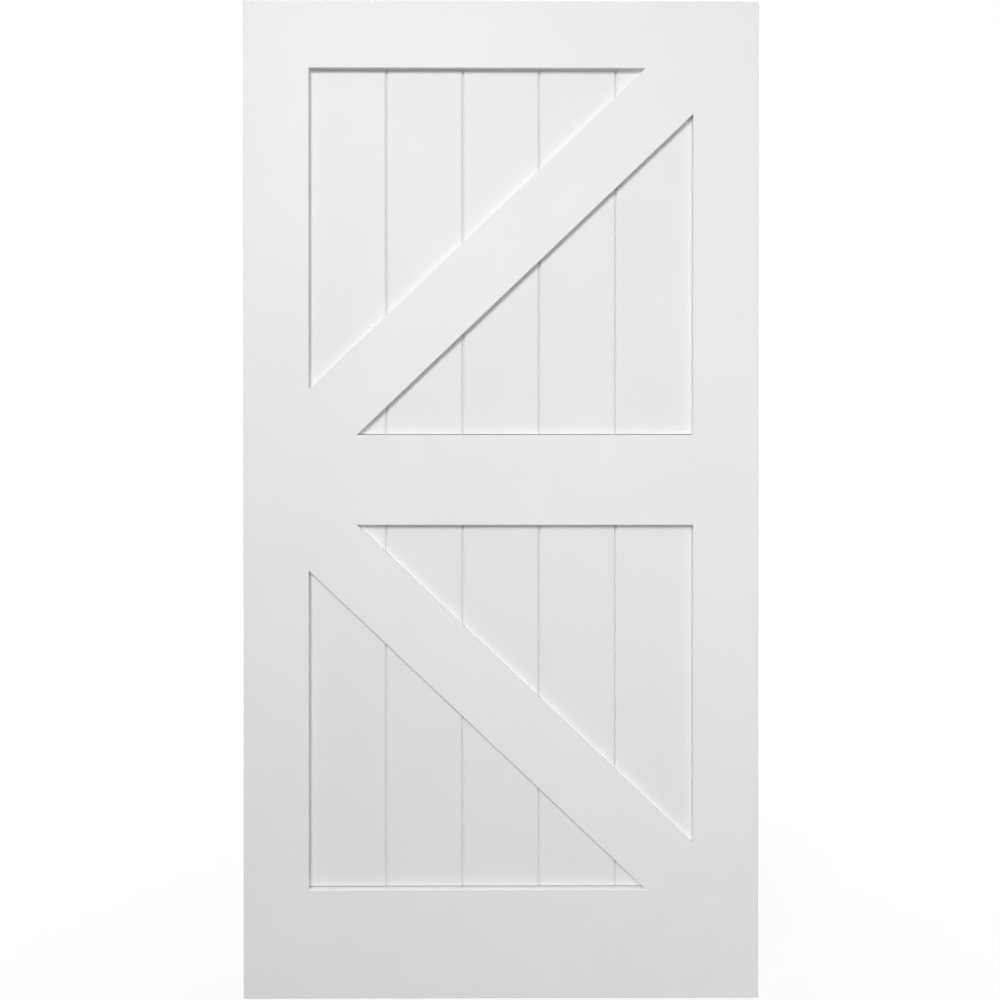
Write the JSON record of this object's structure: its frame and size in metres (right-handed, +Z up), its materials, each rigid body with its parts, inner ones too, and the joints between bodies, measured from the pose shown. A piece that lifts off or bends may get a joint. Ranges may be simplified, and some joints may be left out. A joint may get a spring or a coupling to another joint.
{
  "type": "barn door slab",
  "caption": "White primed barn door slab: stiles, rails and a K of diagonal braces over V-jointed tongue-and-groove boards, the same on both faces, hung from its top edge.",
  "frame": {"origin": "the middle of the top edge, where the hangers carry the door", "axes": "+Z is up along the stiles, -Y is the front face with the knee of the K on the left, +X is to the right seen from the front"},
  "size_m": [1.102, 0.04, 2.134],
  "materials": {
    "frame_primer": "satin",
    "board_primer": "satin"
  },
  "bodies": {
    "root": {"left_stile": "frame_primer", "right_stile": "frame_primer", "top_rail": "frame_primer", "middle_rail": "frame_primer", "bottom_rail": "frame_primer", "front_upper_brace": "frame_primer", "front_lower_brace": "frame_primer", "back_upper_brace": "frame_primer", "back_lower_brace": "frame_primer", "upper_board_1": "board_primer", "upper_board_2": "board_primer", "upper_board_3": "board_primer", "upper_board_4": "board_primer", "upper_board_5": "board_primer", "lower_board_1": "board_primer", "lower_board_2": "board_primer", "lower_board_3": "board_primer", "lower_board_4": "board_primer", "lower_board_5": "board_primer"}
  },
  "joints": []
}
